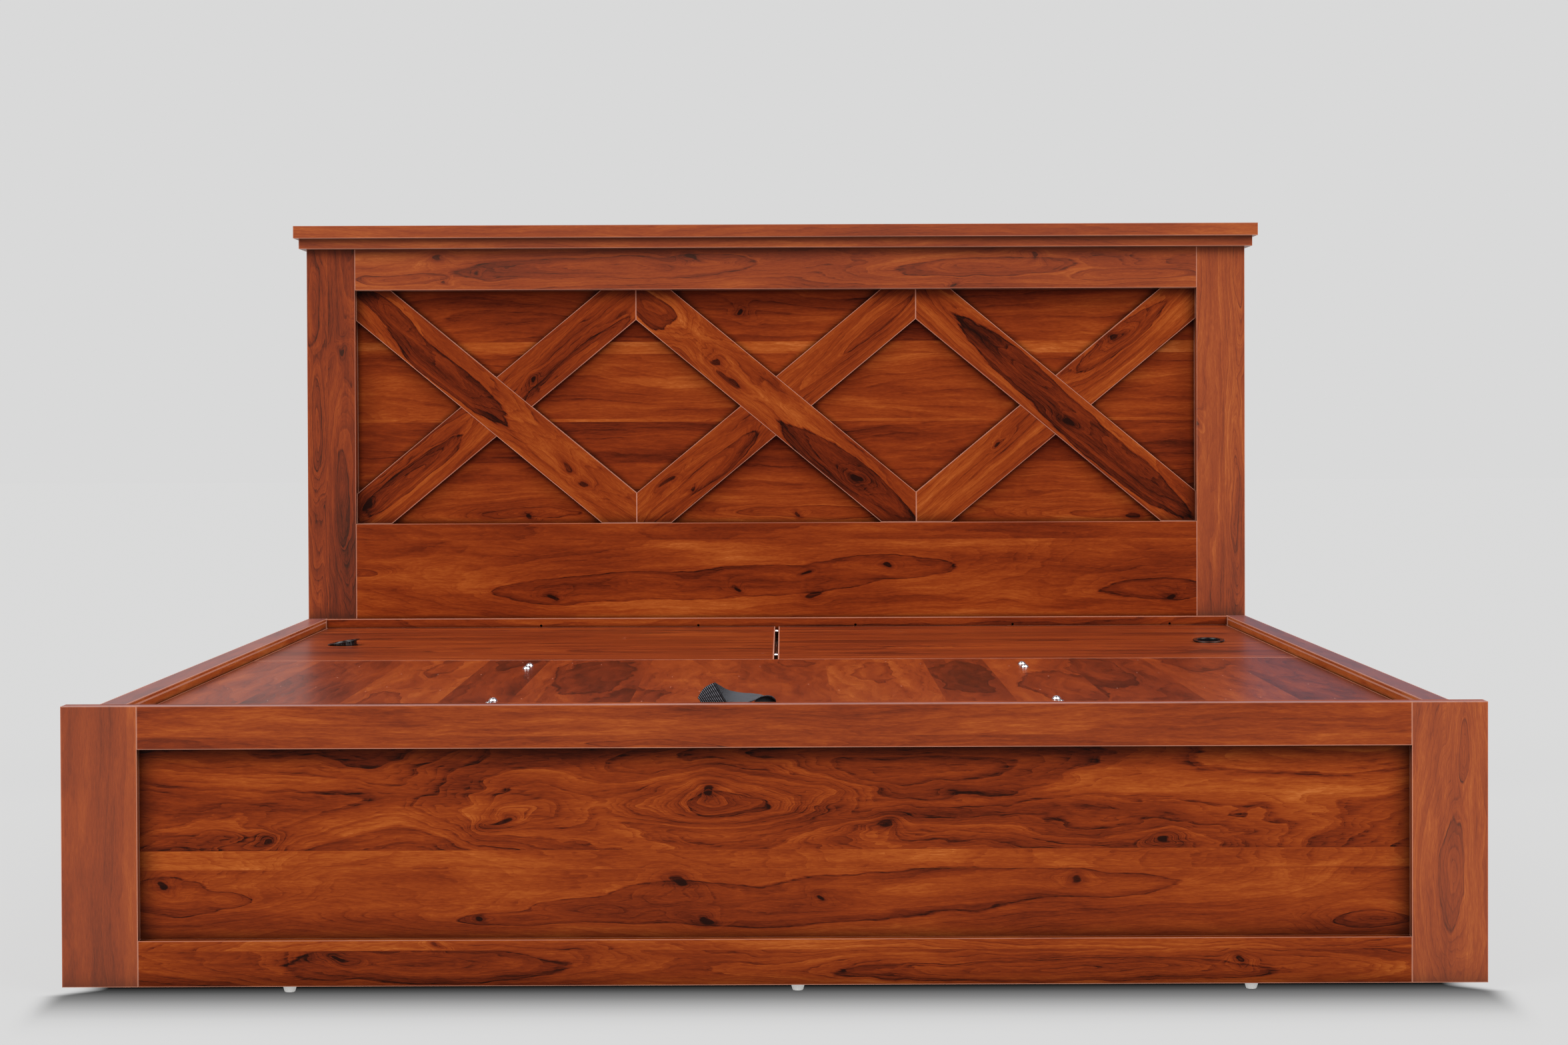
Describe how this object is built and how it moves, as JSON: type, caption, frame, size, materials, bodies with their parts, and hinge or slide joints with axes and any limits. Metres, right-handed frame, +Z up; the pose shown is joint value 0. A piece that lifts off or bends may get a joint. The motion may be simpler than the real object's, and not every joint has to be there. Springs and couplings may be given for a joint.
{
  "type": "ottoman bed",
  "caption": "Ottoman storage bed with a braced panel headboard, a lid that lifts on gas-strut links, and lift-off panels with finger holes over the head-end storage.",
  "frame": {"origin": "centre of the bed's outline in plan, on the floor under the glides", "axes": "+X to the right seen from the foot end, +Y towards the headboard, +Z up"},
  "size_m": [2.008, 2.14, 1.206],
  "materials": {
    "laminate": "satin laminate with a strong reddish-brown figure",
    "panel_laminate": "satin laminate, golden brown with dark heart figure",
    "dark_laminate": "satin laminate, darker reddish brown",
    "zinc_steel": "zinc-plated pressed steel",
    "chrome": "bright chrome",
    "black_paint": "satin black paint",
    "black_plastic": "glossy black moulded plastic",
    "white_plastic": "off-white moulded plastic",
    "webbing": "ribbed black webbing"
  },
  "bodies": {
    "bed": {"headboard_stile_left": "laminate", "headboard_stile_right": "laminate", "headboard_top_rail": "laminate", "headboard_moulding": "laminate", "headboard_cap": "laminate", "cross_brace_long_left": "laminate", "cross_brace_long_middle": "laminate", "cross_brace_long_right": "laminate", "cross_brace_upper_left": "laminate", "cross_brace_upper_middle": "laminate", "cross_brace_upper_right": "laminate", "cross_brace_lower_left": "laminate", "cross_brace_lower_middle": "laminate", "cross_brace_lower_right": "laminate", "footboard_stile_left": "laminate", "footboard_stile_right": "laminate", "footboard_top_rail": "laminate", "footboard_bottom_rail": "laminate", "side_rail_left": "laminate", "side_rail_right": "laminate", "head_cross_rail": "laminate", "headboard_lower_panel": "panel_laminate", "footboard_panel": "panel_laminate", "headboard_back_panel": "dark_laminate", "side_ledger_left": "dark_laminate", "side_ledger_right": "dark_laminate", "cross_partition": "dark_laminate", "partition_left": "dark_laminate", "partition_right": "dark_laminate", "rear_partition": "dark_laminate", "floor_panel": "dark_laminate", "glide_front_left": "white_plastic", "glide_front_middle": "white_plastic", "glide_front_right": "white_plastic", "glide_rear_left": "white_plastic", "glide_rear_right": "white_plastic", "lift_base_bracket_left": "zinc_steel", "lift_base_bracket_right": "zinc_steel", "gap_screw_near": "chrome", "gap_screw_far": "chrome"},
    "rear_links": {"lift_rear_link_left": "zinc_steel", "lift_rear_link_right": "zinc_steel"},
    "front_links": {"lift_front_link_left": "zinc_steel", "lift_front_link_right": "zinc_steel"},
    "lid": {"lift_lid": "panel_laminate", "pull_strap": "webbing", "lift_lid_bracket_left": "zinc_steel", "lift_lid_bracket_right": "zinc_steel", "lid_bolts_front_left": "chrome", "lid_bolts_front_right": "chrome", "lid_bolts_rear_left": "chrome", "lid_bolts_rear_right": "chrome"},
    "gas_cylinders": {"gas_cylinder_left": "black_paint", "gas_cylinder_right": "black_paint"},
    "gas_rods": {"gas_rod_left": "chrome", "gas_rod_right": "chrome"},
    "left_rear_panel": {"rear_panel_left": "panel_laminate", "finger_ring_left": "black_plastic"},
    "right_rear_panel": {"rear_panel_right": "panel_laminate", "finger_ring_right": "black_plastic"}
  },
  "joints": [
    {"name": "rear_link_pivot", "type": "hinge", "parent": "bed", "child": "rear_links", "pos_m": [0, -0.193, 0.298], "axis": [1, 0, 0], "range_deg": [0, 36.67]},
    {"name": "lid_tilt", "type": "hinge", "parent": "rear_links", "child": "lid", "pos_m": [0, -0.003, 0.354], "axis": [-1, 0, 0], "range_deg": [0, 72.66]},
    {"name": "front_link_pivot", "type": "hinge", "parent": "bed", "child": "front_links", "pos_m": [0, -0.66, 0.213], "axis": [1, 0, 0], "range_deg": [0, 18.7]},
    {"name": "gas_cylinder_pivot", "type": "hinge", "parent": "bed", "child": "gas_cylinders", "pos_m": [0, -0.262, 0.068], "axis": [1, 0, 0], "range_deg": [0, 10.5]},
    {"name": "gas_rod_slide", "type": "slide", "parent": "gas_cylinders", "child": "gas_rods", "axis": [0, 0.0961, 0.9954], "range_m": [0, 0.13]},
    {"name": "left_rear_panel_lift", "type": "slide", "parent": "bed", "child": "left_rear_panel", "axis": [0, 0, 1], "range_m": [0, 0.3]},
    {"name": "right_rear_panel_lift", "type": "slide", "parent": "bed", "child": "right_rear_panel", "axis": [0, 0, 1], "range_m": [0, 0.3]}
  ],
  "couplings": [
    {"joint": "rear_link_pivot", "follows": "lid_tilt", "ratio": 0.5046},
    {"joint": "front_link_pivot", "follows": "lid_tilt", "ratio": 0.25729},
    {"joint": "gas_cylinder_pivot", "follows": "lid_tilt", "ratio": 0.14442},
    {"joint": "gas_rod_slide", "follows": "lid_tilt", "m_per_rad": 0.10238}
  ]
}
